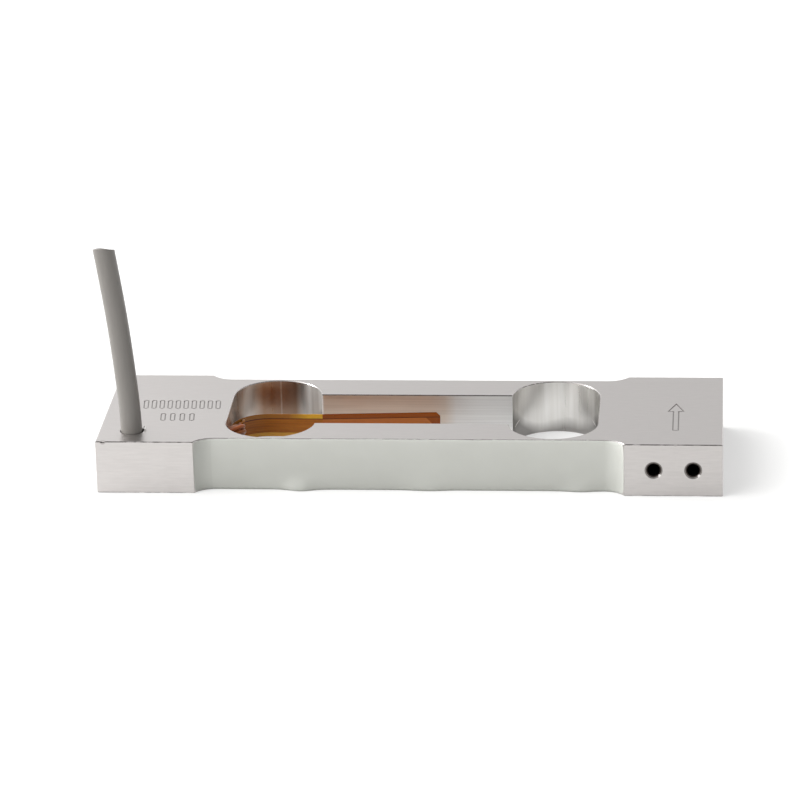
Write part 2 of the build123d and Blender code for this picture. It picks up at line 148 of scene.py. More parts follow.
ceiling = addNode(tree, "ShaderNodeMapRange", {
    "Value": direction.outputs["X"], "From Min": studio["ceilingSpan"][0], "From Max": studio["ceilingSpan"][1],
    "To Min": studio["ceilingLeft"], "To Max": studio["ceilingRight"]})
room = addNode(tree, "ShaderNodeMapRange", {
    "Value": direction.outputs["Z"], "From Min": studio["ceilingRise"][0], "From Max": studio["ceilingRise"][1],
    "To Min": studio["horizon"], "To Max": ceiling})
fromLeft = addNode(tree, "ShaderNodeVectorMath", {"operation": "DOT_PRODUCT", 0: sky.outputs["Generated"],
                                                  1: studio["lightFrom"]})
light = addNode(tree, "ShaderNodeMapRange", {
    "interpolation_type": "SMOOTHSTEP", "Value": fromLeft.outputs["Value"],
    "From Min": studio["lightSpan"][0], "From Max": studio["lightSpan"][1],
    "To Min": studio["lightRight"], "To Max": studio["lightLeft"]})
level = addNode(tree, "ShaderNodeMix", {"data_type": "FLOAT", 0: seen, 2: light, 3: room})
background = addNode(tree, "ShaderNodeBackground", {"Color": (1, 1, 1, 1), "Strength": level})
addNode(tree, "ShaderNodeOutputWorld", {"Surface": background})

for name, place, target, width, height, watts in studio["lamps"]:
    lampData = bpy.data.lights.new(name, "AREA")
    lampData.shape = "RECTANGLE"
    lampData.size = width
    lampData.size_y = height
    lampData.energy = watts
    lamp = bpy.data.objects.new(name, lampData)
    lamp.location = place
    lamp.rotation_euler = (Vector(target) - Vector(place)).to_track_quat("-Z", "Y").to_euler()
    scene.collection.objects.link(lamp)

# painted studio floor, matt: white where it is lit, with a soft shadow where it isn't
floorPaint, tree, shader, place = startMaterial("floorPaint", {
    "Base Color": linearColour("#c8c8c7"), "Roughness": 0.9, "Specular IOR Level": 0.0,
    "Emission Color": (1, 1, 1, 1)})
ray = addNode(tree, "ShaderNodeLightPath", {})
seen = addNode(tree, "ShaderNodeMath", {"operation": "MAXIMUM", 0: ray.outputs["Is Camera Ray"],
                                        1: ray.outputs["Is Glossy Ray"]})
seen = addNode(tree, "ShaderNodeMath", {"operation": "MAXIMUM", 0: seen, 1: ray.outputs["Is Transmission Ray"]})
reach = addNode(tree, "ShaderNodeVectorMath", {"operation": "LENGTH", 0: place})
reach = addNode(tree, "ShaderNodeMapRange", {
    "Value": reach.outputs["Value"], "From Min": studio["glowReach"][0], "From Max": studio["glowReach"][1],
    "To Min": studio["glowNear"], "To Max": studio["glowFar"]})
# painted shadow: under the bent film in the left window the floor's glow is dimmed to four fifths
paintedShadowUnderFilm = addNode(tree, "ShaderNodeVectorMath", {"operation": "DISTANCE", 0: place, 1: studio["shadeMiddle"]})
paintedShadowUnderFilm = addNode(tree, "ShaderNodeMapRange", {
    "Value": paintedShadowUnderFilm.outputs["Value"], "From Min": studio["shadeReach"][0], "From Max": studio["shadeReach"][1],
    "To Min": studio["shadeLevel"], "To Max": 1.0})
glow = addNode(tree, "ShaderNodeMath", {"operation": "MULTIPLY", 0: seen, 1: reach})
glow = addNode(tree, "ShaderNodeMath", {"operation": "MULTIPLY", 0: glow, 1: paintedShadowUnderFilm})
# the metal sees the floor a little darker towards the right
rightward = addNode(tree, "ShaderNodeSeparateXYZ", {0: place})
rightward = addNode(tree, "ShaderNodeMapRange", {
    "Value": rightward.outputs["X"], "From Min": studio["metalSpan"][0], "From Max": studio["metalSpan"][1],
    "To Min": 1.0, "To Max": studio["metalRight"]})
rightward = addNode(tree, "ShaderNodeMath", {"operation": "MAXIMUM", 0: rightward, 1: ray.outputs["Is Camera Ray"]})
glow = addNode(tree, "ShaderNodeMath", {"operation": "MULTIPLY", 0: glow, 1: rightward})
tree.links.new(glow.outputs[0], shader.inputs["Emission Strength"])
bm = bmesh.new()
bmesh.ops.create_grid(bm, x_segments=1, y_segments=1, size=studio["floorSize"] / 2)
bmesh.ops.translate(bm, verts=bm.verts, vec=(0, 0, -studio["floorDrop"]))
floorMesh = bpy.data.meshes.new("studioFloor")
bm.to_mesh(floorMesh)
bm.free()
floorMesh.materials.append(floorPaint)
floor = bpy.data.objects.new("studioFloor", floorMesh)
scene.collection.objects.link(floor)
print("studio lit")


# Cable: a stub of round shielded lead, cut off a few centimetres above the beam
cable = {
    "route": [  # the points of part.py's route, in metres
        Vector((-0.07142, -0.017, 0.008)),
        Vector((-0.07162, -0.017, 0.0175)),
        Vector((-0.07255, -0.017, 0.030)),
        Vector((-0.0739, -0.017, 0.0435)),
        Vector((-0.07565, -0.017, 0.0565)),
        Vector((-0.0770, -0.017, 0.0655)),
    ],
    "exit": (-0.0715, -0.017, 0.014),
    "length": 0.0555,
    "diameter": 5.5 * mm,
    "wall": 1.0 * mm,
    "cutPoint": Vector((-0.0763, -0.017, 0.063)),
    "cutTilt": radians(18.2),  # lower at the back
    "roundness": 10,
}


# an object with the cable's NURBS line, bare or as a tube of a radius
def cableCurve(radius):
    data = bpy.data.curves.new("cableLine", "CURVE")
    data.dimensions = "3D"
    data.resolution_u = 16
    data.bevel_depth = radius
    data.bevel_resolution = cable["roundness"]
    spline = data.splines.new("NURBS")
    spline.points.add(len(cable["route"]) - 1)
    for point, spot in zip(spline.points, cable["route"]):
        point.co = (*spot, 1.0)
    spline.order_u = 3
    spline.use_endpoint_u = True
    return bpy.data.objects.new("cableLine", data)


cutNormal = Vector((0, sin(cable["cutTilt"]), cos(cable["cutTilt"])))
bareLine = bpy.data.meshes.new_from_object(cableCurve(0))
tube = bpy.data.meshes.new_from_object(cableCurve(cable["diameter"] / 2))
bm = bmesh.new()
bm.from_mesh(tube)
bmesh.ops.remove_doubles(bm, verts=bm.verts, dist=1e-6)
bmesh.ops.bisect_plane(bm, geom=bm.verts[:] + bm.edges[:] + bm.faces[:], plane_co=cable["cutPoint"],
                       plane_no=cutNormal, clear_outer=True)
bmesh.ops.recalc_face_normals(bm, faces=bm.faces)

# PVC jacket, extruded: mid grey and satin, with a faint long grain from the die
greyJacket, tree, shader, place = startMaterial("greyPvcJacket", {"Roughness": 0.38, "IOR": 1.53,
                                                                   "Specular IOR Level": 0.55})
grain = addNode(tree, "ShaderNodeMapping", {"Scale": (1.0, 1.0, 0.12), "Vector": place})
grain = addNode(tree, "ShaderNodeTexNoise", {"Scale": 1.8, "Detail": 4.0, "Vector": grain})  # 0.55 mm
shade = addNode(tree, "ShaderNodeMix", {"data_type": "RGBA", 0: grain, 6: linearColour("#787470"),
                                        7: linearColour("#827e79")})
tree.links.new(shade.outputs[2], shader.inputs["Base Color"])
bump = addNode(tree, "ShaderNodeBump", {"Strength": 0.15, "Distance": 0.05 * mm, "Height": grain})
tree.links.new(bump.outputs[0], shader.inputs["Normal"])

cableTube = addPiece("cableTube", bm, greyJacket)
wall = cableTube.modifiers.new("jacketWall", "SOLIDIFY")
wall.thickness = cable["wall"]
wall.offset = -1
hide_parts("cable_jacket")
print("cable laid")


# Aluminium alloy, milled all over: satin faces, lines along the slot, smoother bored windows with
# upright streaks, and edges broken by hand
alloy = {
    "low": "#c7c3c1", "high": "#cfcbc9",
    "window": "#f6f5f3", "windowLow": "#e0deda", "paintedLowShade": "#8f8c8a", "filmReflection": "#9f7858",
    "slotFilmReflection": "#dcd3ca", "slotBare": "#e6e5e4", "slotTintEnd": 8.7,
    "burrAndShade": "#6d6866", "markShade": "#8f8b89", "bright": "#efecea", "boreShade": "#3c3532", "holeRim": "#827e7b",
    "faceRoughness": 0.36, "windowRoughness": 0.26, "slotRoughness": 0.3, "edgeRoughness": 0.22,
    "windowX": 36.5, "windowHalf": 11.5, "windowReach": 21.1, "slotX": 25.0, "slotY": 10.5, "faceY": 25.0,
    "dents": [(-78.1, 0.85), (68.0, 0.45)],  # place along the edge and reach
    "glints": [((25.47, 12.87, 4.2), (26.67, 15.57, 5.4)), ((46.68, 14.95, 3.8), (45.56, 16.68, 5.1))],
    "glintWidth": 0.03,
    "topZ": 14.0, "markZ": 13.85, "highlightLineX": -36.9,
    "holeX": 67.5, "holeGap": 10.0, "holeZ": 7.0, "boreShadeRadius": 1.9, "rimRadius": 2.35,
    "mouthGlint": (1.55, 5.5, 0), "mouthGlintRadius": 0.38,  # beside a hole's middle, and above the table
    "paintedLowShadeSpan": (2.8, 5.8), "paintedLowShadeWander": 5.0, "paintedLowShadeAside": -0.0004,
    "filmReflectionStart": (-46.5, -41.5), "filmReflectionEnd": (-33.0, -30.5), "scouredSpan": (-31.0, -29.0),
    "grainRelief": 0.003, "lineRelief": 0.008,
    "grain": 0.45, "streak": 1.8, "line": 0.4, "mottle": 14.0,  # sizes in mm
}
milledAluminium, tree, shader, place = startMaterial("milledAluminium", {"Metallic": 1.0})
spot = addNode(tree, "ShaderNodeSeparateXYZ", {0: place})
away = addNode(tree, "ShaderNodeVectorMath", {"operation": "ABSOLUTE", 0: place})
away = addNode(tree, "ShaderNodeSeparateXYZ", {0: away})
geometry = addNode(tree, "ShaderNodeNewGeometry", {})
slope = addNode(tree, "ShaderNodeVectorMath", {"operation": "ABSOLUTE", 0: geometry.outputs["Normal"]})
slope = addNode(tree, "ShaderNodeSeparateXYZ", {0: slope})
upright = addNode(tree, "ShaderNodeMath", {"operation": "LESS_THAN", 0: slope.outputs["Z"], 1: 0.4})
flat = addNode(tree, "ShaderNodeMath", {"operation": "GREATER_THAN", 0: slope.outputs["Z"], 1: 0.95})
brokenEdge = addNode(tree, "ShaderNodeMath", {"operation": "COMPARE", 0: slope.outputs["Z"], 1: 0.7, 2: 0.15})

# where the bored windows and the slot are
besideWindow = addNode(tree, "ShaderNodeMath", {"operation": "COMPARE", 0: away.outputs["X"], 1: alloy["windowX"],
                                                2: alloy["windowHalf"] + 0.1})
inReach = addNode(tree, "ShaderNodeMath", {"operation": "LESS_THAN", 0: away.outputs["Y"],
                                           1: alloy["windowReach"] + 0.2})
windowWall = addNode(tree, "ShaderNodeMath", {"operation": "MULTIPLY", 0: besideWindow, 1: inReach})
windowWall = addNode(tree, "ShaderNodeMath", {"operation": "MULTIPLY", 0: windowWall, 1: upright})
inSlot = addNode(tree, "ShaderNodeMath", {"operation": "LESS_THAN", 0: away.outputs["Y"], 1: alloy["slotY"] + 0.2})
slotWall = addNode(tree, "ShaderNodeMath", {"operation": "LESS_THAN", 0: away.outputs["X"], 1: alloy["slotX"]})
slotWall = addNode(tree, "ShaderNodeMath", {"operation": "MULTIPLY", 0: slotWall, 1: inSlot})
slotWall = addNode(tree, "ShaderNodeMath", {"operation": "MULTIPLY", 0: slotWall, 1: upright})

# tool marks
grain = addNode(tree, "ShaderNodeMapping", {"Scale": (0.12, 1.0, 1.0), "Vector": place})
grain = addNode(tree, "ShaderNodeTexNoise", {"Scale": 1 / alloy["grain"], "Detail": 4.0, "Vector": grain})
mottle = addNode(tree, "ShaderNodeTexNoise", {"Scale": 1 / alloy["mottle"], "Detail": 3.0, "Vector": place})
streaks = addNode(tree, "ShaderNodeMapping", {"Scale": (1.0, 1.0, 0.04), "Vector": place})
streaks = addNode(tree, "ShaderNodeTexNoise", {"Scale": 1 / alloy["streak"], "Detail": 3.0, "Roughness": 0.5,
                                               "Vector": streaks})
lines = addNode(tree, "ShaderNodeMapping", {"Scale": (0.012, 0.012, 1.0), "Vector": place})
lines = addNode(tree, "ShaderNodeTexNoise", {"Scale": 1 / alloy["line"], "Detail": 3.0, "Vector": lines})
marks = addNode(tree, "ShaderNodeMix", {"data_type": "FLOAT", 0: windowWall, 2: grain, 3: streaks})
marks = addNode(tree, "ShaderNodeMix", {"data_type": "FLOAT", 0: slotWall, 2: marks, 3: lines})
strong = addNode(tree, "ShaderNodeMapRange", {"Value": marks, "From Min": 0.3, "From Max": 0.7})

# painted shade: the floors of the engraved marks are painted darker
engravedShade = addNode(tree, "ShaderNodeMath", {"operation": "COMPARE", 0: spot.outputs["Z"], 1: alloy["markZ"], 2: 0.02})
engravedShade = addNode(tree, "ShaderNodeMath", {"operation": "MULTIPLY", 0: engravedShade, 1: flat})

# partly painted shade: a dark line along the front top edge, broken here and there, and along the slot's back edge,
# part burr and part painted dark reflection in the edge's chamfer
burrAndShade = addNode(tree, "ShaderNodeMapping", {"Scale": (0.5, 0.02, 0.02), "Vector": place})
burrAndShade = addNode(tree, "ShaderNodeTexNoise", {"Scale": 1.0, "Detail": 3.0, "Vector": burrAndShade})
burrAndShade = addNode(tree, "ShaderNodeMapRange", {"Value": burrAndShade, "From Min": 0.36, "From Max": 0.5})
atFront = addNode(tree, "ShaderNodeMath", {"operation": "LESS_THAN", 0: spot.outputs["Y"], 1: 0.3 - alloy["faceY"]})
burrAndShade = addNode(tree, "ShaderNodeMath", {"operation": "MULTIPLY", 0: burrAndShade, 1: atFront})
slotEdge = addNode(tree, "ShaderNodeMath", {"operation": "COMPARE", 0: spot.outputs["Y"], 1: alloy["slotY"] + 0.1,
                                            2: 0.2})
alongSlot = addNode(tree, "ShaderNodeMath", {"operation": "LESS_THAN", 0: away.outputs["X"], 1: alloy["slotX"]})
slotEdge = addNode(tree, "ShaderNodeMath", {"operation": "MULTIPLY", 0: slotEdge, 1: alongSlot})
burrAndShade = addNode(tree, "ShaderNodeMath", {"operation": "MAXIMUM", 0: burrAndShade, 1: slotEdge})
burrAndShade = addNode(tree, "ShaderNodeMath", {"operation": "MULTIPLY", 0: burrAndShade, 1: brokenEdge})

# painted highlights: a bright line on the left window's wall, and the slot's bright corners
highlightLine = addNode(tree, "ShaderNodeMath", {"operation": "SUBTRACT", 0: spot.outputs["X"], 1: alloy["highlightLineX"]})
highlightLine = addNode(tree, "ShaderNodeMath", {"operation": "ABSOLUTE", 0: highlightLine})
highlightLine = addNode(tree, "ShaderNodeMapRange", {"Value": highlightLine, "From Min": 0.0, "From Max": 0.3,
                                                  "To Min": 0.4, "To Max": 0.0})
highlightLine = addNode(tree, "ShaderNodeMath", {"operation": "MULTIPLY", 0: highlightLine, 1: windowWall})
cornerHighlight = addNode(tree, "ShaderNodeVectorMath", {"operation": "MULTIPLY", 0: place, 1: (-1, 1, 0)})
cornerHighlight = addNode(tree, "ShaderNodeVectorMath", {"operation": "DISTANCE", 0: cornerHighlight,
                                                1: (alloy["slotX"], alloy["slotY"], 0)})
cornerHighlight = addNode(tree, "ShaderNodeMath", {"operation": "LESS_THAN", 0: cornerHighlight.outputs["Value"], 1: 0.3})
bright = addNode(tree, "ShaderNodeMath", {"operation": "MAXIMUM", 0: highlightLine, 1: cornerHighlight})
bright = addNode(tree, "ShaderNodeMath", {"operation": "MULTIPLY", 0: bright, 1: upright})

# painted shade: the threaded holes are painted dark inside, and their countersunk rims a darker grey
fromHole = addNode(tree, "ShaderNodeMath", {"operation": "SUBTRACT", 0: away.outputs["X"], 1: alloy["holeX"]})
fromHole = addNode(tree, "ShaderNodeMath", {"operation": "ABSOLUTE", 0: fromHole})
fromHole = addNode(tree, "ShaderNodeMath", {"operation": "SUBTRACT", 0: fromHole, 1: alloy["holeGap"] / 2})
fromHole = addNode(tree, "ShaderNodeCombineXYZ", {"X": fromHole, "Y": spot.outputs["Z"]})
fromHole = addNode(tree, "ShaderNodeVectorMath", {"operation": "DISTANCE", 0: fromHole, 1: (0, alloy["holeZ"], 0)})
paintedBoreShade = addNode(tree, "ShaderNodeMath", {"operation": "LESS_THAN", 0: fromHole.outputs["Value"],
                                         1: alloy["boreShadeRadius"]})
holeRim = addNode(tree, "ShaderNodeMath", {"operation": "LESS_THAN", 0: fromHole.outputs["Value"],
                                           1: alloy["rimRadius"]})
inside = addNode(tree, "ShaderNodeMath", {"operation": "LESS_THAN", 0: away.outputs["Y"], 1: alloy["faceY"] - 0.05})
paintedBoreShade = addNode(tree, "ShaderNodeMath", {"operation": "MULTIPLY", 0: paintedBoreShade, 1: inside})
holeRim = addNode(tree, "ShaderNodeMath", {"operation": "MULTIPLY", 0: holeRim, 1: inside})

# painted highlights: a glint on each front mouth, and a glint at both lower corners of the right window
mouthGlint = addNode(tree, "ShaderNodeMath", {"operation": "SUBTRACT", 0: spot.outputs["X"],
                                             1: alloy["holeX"] - alloy["holeGap"] / 2})
mouthGlint = addNode(tree, "ShaderNodeMath", {"operation": "WRAP", 0: mouthGlint, 1: alloy["holeGap"] / 2,
                                             2: -alloy["holeGap"] / 2})
mouthGlint = addNode(tree, "ShaderNodeCombineXYZ", {"X": mouthGlint, "Y": spot.outputs["Z"]})
mouthGlint = addNode(tree, "ShaderNodeVectorMath", {"operation": "DISTANCE", 0: mouthGlint, 1: alloy["mouthGlint"]})
mouthGlint = addNode(tree, "ShaderNodeMath", {"operation": "LESS_THAN", 0: mouthGlint.outputs["Value"],
                                             1: alloy["mouthGlintRadius"]})
frontHalf = addNode(tree, "ShaderNodeMath", {"operation": "LESS_THAN", 0: spot.outputs["Y"], 1: 0.0})
mouthGlint = addNode(tree, "ShaderNodeMath", {"operation": "MULTIPLY", 0: mouthGlint, 1: frontHalf})
mouthGlint = addNode(tree, "ShaderNodeMath", {"operation": "MULTIPLY", 0: mouthGlint, 1: holeRim})
bright = addNode(tree, "ShaderNodeMath", {"operation": "MAXIMUM", 0: bright, 1: mouthGlint})
for glintStart, glintEnd in alloy["glints"]:
    toStart = addNode(tree, "ShaderNodeVectorMath", {"operation": "DISTANCE", 0: place, 1: glintStart})
    toEnd = addNode(tree, "ShaderNodeVectorMath", {"operation": "DISTANCE", 0: place, 1: glintEnd})
    around = addNode(tree, "ShaderNodeMath", {"operation": "ADD", 0: toStart.outputs["Value"],
                                              1: toEnd.outputs["Value"]})
    glintLength = (Vector(glintEnd) - Vector(glintStart)).length
    glint = addNode(tree, "ShaderNodeMath", {"operation": "LESS_THAN", 0: around,
                                               1: glintLength + alloy["glintWidth"]})
    bright = addNode(tree, "ShaderNodeMath", {"operation": "MAXIMUM", 0: bright, 1: glint})

# colour
shade = addNode(tree, "ShaderNodeMix", {"data_type": "RGBA", 0: strong, 6: linearColour(alloy["low"]),
                                        7: linearColour(alloy["high"])})
bored = addNode(tree, "ShaderNodeMix", {"data_type": "RGBA", 0: strong, 6: linearColour(alloy["windowLow"]),
                                        7: linearColour(alloy["window"])})
# painted shade: the bored windows' walls are darkened towards the bottom, more so towards their sides, with a
# wandering edge
aside = addNode(tree, "ShaderNodeMath", {"operation": "SUBTRACT", 0: away.outputs["X"], 1: alloy["windowX"]})
aside = addNode(tree, "ShaderNodeMath", {"operation": "POWER", 0: aside, 1: 4.0})
paintedLowShade = addNode(tree, "ShaderNodeMath", {"operation": "MULTIPLY_ADD", 0: mottle, 1: alloy["paintedLowShadeWander"],
                                         2: spot.outputs["Z"]})
paintedLowShade = addNode(tree, "ShaderNodeMath", {"operation": "MULTIPLY_ADD", 0: aside, 1: alloy["paintedLowShadeAside"], 2: paintedLowShade})
paintedLowShade = addNode(tree, "ShaderNodeMapRange", {
    "Value": paintedLowShade, "From Min": alloy["paintedLowShadeSpan"][0], "From Max": alloy["paintedLowShadeSpan"][1],
    "To Min": 0.85, "To Max": 0.0})
bored = addNode(tree, "ShaderNodeMix", {"data_type": "RGBA", 0: paintedLowShade, 6: bored.outputs[2],
                                        7: linearColour(alloy["paintedLowShade"])})
# painted reflection: the left window's walls are tinted brown between x -46.5 and -30.5 mm, a painted reflection of
# the amber film inside
filmReflectionStart = addNode(tree, "ShaderNodeMapRange", {
    "Value": spot.outputs["X"], "From Min": alloy["filmReflectionStart"][0], "From Max": alloy["filmReflectionStart"][1]})
filmReflectionEnd = addNode(tree, "ShaderNodeMapRange", {
    "Value": spot.outputs["X"], "From Min": alloy["filmReflectionEnd"][0], "From Max": alloy["filmReflectionEnd"][1],
    "To Min": 0.8, "To Max": 0.0})
tintShare = addNode(tree, "ShaderNodeMath", {"operation": "MULTIPLY", 0: filmReflectionStart, 1: filmReflectionEnd})
bored = addNode(tree, "ShaderNodeMix", {"data_type": "RGBA", 0: tintShare, 6: bored.outputs[2],
                                        7: linearColour(alloy["filmReflection"])})
shade = addNode(tree, "ShaderNodeMix", {"data_type": "RGBA", 0: windowWall, 6: shade.outputs[2],
                                        7: bored.outputs[2]})
# painted reflection: the slot's wall above the circuit carries a pinkish tint, a painted reflection of the amber
# film, and is bare past its end
bare = addNode(tree, "ShaderNodeMapRange", {"Value": spot.outputs["X"], "From Min": alloy["slotTintEnd"] - 1.5,
                                            "From Max": alloy["slotTintEnd"] + 1.5})
slotShade = addNode(tree, "ShaderNodeMix", {"data_type": "RGBA", 0: bare, 6: linearColour(alloy["slotFilmReflection"]),
                                            7: linearColour(alloy["slotBare"])})
slotShade = addNode(tree, "ShaderNodeMix", {"data_type": "RGBA", "blend_type": "MULTIPLY", 0: 0.12,
                                            6: slotShade.outputs[2], 7: strong})
shade = addNode(tree, "ShaderNodeMix", {"data_type": "RGBA", 0: slotWall, 6: shade.outputs[2],
                                        7: slotShade.outputs[2]})
# laid over the milled colour in turn: the engraved floors' painted shade, the dark edge line (part burr, part painted
# shade), the hole rims' and bores' painted shade, and the painted highlights
for cover, colour in ((engravedShade, "markShade"), (burrAndShade, "burrAndShade"), (holeRim, "holeRim"), (paintedBoreShade, "boreShade"),
                      (bright, "bright")):
    shade = addNode(tree, "ShaderNodeMix", {"data_type": "RGBA", 0: cover, 6: shade.outputs[2],
                                            7: linearColour(alloy[colour])})
tree.links.new(shade.outputs[2], shader.inputs["Base Color"])

# roughness
rough = addNode(tree, "ShaderNodeMix", {"data_type": "FLOAT", 0: windowWall, 2: alloy["faceRoughness"],
                                        3: alloy["windowRoughness"]})
rough = addNode(tree, "ShaderNodeMix", {"data_type": "FLOAT", 0: slotWall, 2: rough, 3: alloy["slotRoughness"]})
rough = addNode(tree, "ShaderNodeMix", {"data_type": "FLOAT", 0: brokenEdge, 2: rough, 3: alloy["edgeRoughness"]})
rough = addNode(tree, "ShaderNodeMath", {"operation": "MULTIPLY_ADD", 0: strong, 1: 0.08, 2: rough})
rough = addNode(tree, "ShaderNodeMath", {"operation": "MULTIPLY_ADD", 0: bright, 1: 0.3, 2: rough})
# the left window's right side is scoured duller
scoured = addNode(tree, "ShaderNodeMapRange", {
    "Value": spot.outputs["X"], "From Min": alloy["scouredSpan"][0], "From Max": alloy["scouredSpan"][1]})
leftHalf = addNode(tree, "ShaderNodeMath", {"operation": "LESS_THAN", 0: spot.outputs["X"], 1: 0.0})
scoured = addNode(tree, "ShaderNodeMath", {"operation": "MULTIPLY", 0: scoured, 1: leftHalf})
scoured = addNode(tree, "ShaderNodeMath", {"operation": "MULTIPLY", 0: scoured, 1: windowWall})
rough = addNode(tree, "ShaderNodeMath", {"operation": "MULTIPLY_ADD", 0: scoured, 1: 0.3, 2: rough})
for dentX, dentSize in alloy["dents"]:
    fromDent = addNode(tree, "ShaderNodeVectorMath", {"operation": "DISTANCE", 0: place,
                                                      1: (dentX, -alloy["faceY"], alloy["topZ"])})
    dented = addNode(tree, "ShaderNodeMath", {"operation": "LESS_THAN", 0: fromDent.outputs["Value"], 1: dentSize})
    rough = addNode(tree, "ShaderNodeMath", {"operation": "MULTIPLY_ADD", 0: dented, 1: 0.35, 2: rough})
tree.links.new(rough.outputs[0], shader.inputs["Roughness"])

# relief
depth = addNode(tree, "ShaderNodeMapRange", {"Value": slotWall, "To Min": alloy["grainRelief"],
                                             "To Max": alloy["lineRelief"]})
depth = addNode(tree, "ShaderNodeMath", {"operation": "MULTIPLY", 0: marks, 1: depth})
smooth = addNode(tree, "ShaderNodeMath", {"operation": "SUBTRACT", 0: 1.0, 1: brokenEdge})
depth = addNode(tree, "ShaderNodeMath", {"operation": "MULTIPLY", 0: depth, 1: smooth})
bump = addNode(tree, "ShaderNodeBump", {"Strength": 1.0, "Distance": mm, "Height": depth})
tree.links.new(bump.outputs[0], shader.inputs["Normal"])
print("aluminium finished")


# Silicone: room-temperature-curing paste, brushed over the waists and run at the lower edge
potting = {
    "waistY": 22.0, "faceY": 25.0, "height": 14.0, "half": 55.0, "straightHalf": 49.804,
    "crown": 0.75, "edge": 0.14, "sunk": 0.06, "lift": 0.03,
    "rootY": 21.7, "coveY": 24.8,  # the rim turns in to the first, inside the second
    "topDrop": 0.35,       # how far the paste stops below the top edge, at most
    "frontRuns": [(-27.8, 6.0, 1.3, 2.8), (5.0, 7.0, 0.6, 2.6), (43.5, 6.0, 0.7, 2.5)],  # x, spread, reach, height
    "backRuns": [(-14.0, 5.5, 0.8, 2.6), (21.0, 6.5, 1.2, 3.0)],
    "columns": 240, "rows": 26,
}
# silicone: soft white with a grey-green cast, satin, glossier where it was wiped in the coves
whiteSilicone, tree, shader, place = startMaterial("whiteSilicone", {"IOR": 1.41, "Subsurface Weight": 0.25,
                                                                     "Subsurface Radius": (1.0, 1.0, 1.0),
                                                                     "Subsurface Scale": 0.6 * mm})
cloud = addNode(tree, "ShaderNodeTexNoise", {"Scale": 1 / 9.0, "Detail": 3.0, "Vector": place})
pores = addNode(tree, "ShaderNodeTexNoise", {"Scale": 1 / 0.7, "Detail": 3.0, "Vector": place})
shade = addNode(tree, "ShaderNodeMix", {"data_type": "RGBA", 0: cloud, 6: linearColour("#c0c1bb"),
                                        7: linearColour("#c8c9c3")})
tree.links.new(shade.outputs[2], shader.inputs["Base Color"])
spot = addNode(tree, "ShaderNodeVectorMath", {"operation": "ABSOLUTE", 0: place})
spot = addNode(tree, "ShaderNodeSeparateXYZ", {0: spot})
rough = addNode(tree, "ShaderNodeMapRange", {"Value": spot.outputs["X"], "From Min": 47.0, "From Max": 51.0,
                                             "To Min": 0.45, "To Max": 0.25})
tree.links.new(rough.outputs[0], shader.inputs["Roughness"])
depth = addNode(tree, "ShaderNodeMath", {"operation": "MULTIPLY", 0: cloud, 1: 0.25})
depth = addNode(tree, "ShaderNodeMath", {"operation": "MULTIPLY_ADD", 0: pores, 1: 0.012, 2: depth})
bump = addNode(tree, "ShaderNodeBump", {"Strength": 0.6, "Distance": mm, "Height": depth})
tree.links.new(bump.outputs[0], shader.inputs["Normal"])


# how far the paste stands off the waist's middle plane, in mm, at a place along it and a height
def pasteLine(x, z, runs):
    share = 2 * z / potting["height"] - 1
    thickness = potting["crown"] * (1 - abs(share) ** 2.2) + potting["edge"] * (1 - abs(share) ** 14)
    thickness += 0.05 * noise.noise(Vector((x * 0.11, z * 0.2, 3.0)))
    for runX, spread, reach, height in runs:
        thickness += reach * exp(-((x - runX) / spread) ** 2 * 2.2) * exp(-(z / height) ** 2)
    thickness -= potting["sunk"]
    past = abs(x) - potting["straightHalf"]
    if past <= 0:
        return potting["waistY"] + thickness
    run = potting["half"] - potting["straightHalf"]
    rise = potting["faceY"] - potting["sunk"] - potting["waistY"] - thickness
    radius = (run**2 + rise**2) / (2 * rise)
    return potting["waistY"] + thickness + radius - sqrt(max(0.0, radius**2 - past**2))


# one side's layer: a grid wrapped over the waist and its coves, with its rim turned in to the metal
def pasteLayer(side, runs):
    bm = bmesh.new()
    bmesh.ops.create_grid(bm, x_segments=potting["columns"], y_segments=potting["rows"], size=0.5)
    for v in bm.verts:
        x = v.co.x * 2 * potting["half"]
        drop = potting["topDrop"] * (0.35 + 0.65 * max(0.0, noise.noise(Vector((x * 0.09, side * 5.0, 0.0)))))
        z = potting["lift"] + (v.co.y + 0.5) * (potting["height"] - potting["lift"] - drop)
        v.co = Vector((x, side * pasteLine(x, z, runs), z)) * mm
    rim = [e for e in bm.edges if e.is_boundary]
    turned = bmesh.ops.extrude_edge_only(bm, edges=rim)
    for v in turned["geom"]:
        if isinstance(v, bmesh.types.BMVert):
            v.co.y = side * potting["rootY"] * mm if abs(v.co.y) < potting["coveY"] * mm else v.co.y
    bmesh.ops.recalc_face_normals(bm, faces=bm.faces)
    if sum(f.normal.y * side for f in bm.faces) < 0:
        bmesh.ops.reverse_faces(bm, faces=bm.faces)
    return bm


for side, runs, name, node in ((-1, potting["frontRuns"], "siliconeFront", "potting_front"),
                               (1, potting["backRuns"], "siliconeBack", "potting_back")):
    layer = addPiece(name, pasteLayer(side, runs), whiteSilicone)
    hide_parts(node)
print("silicone laid")


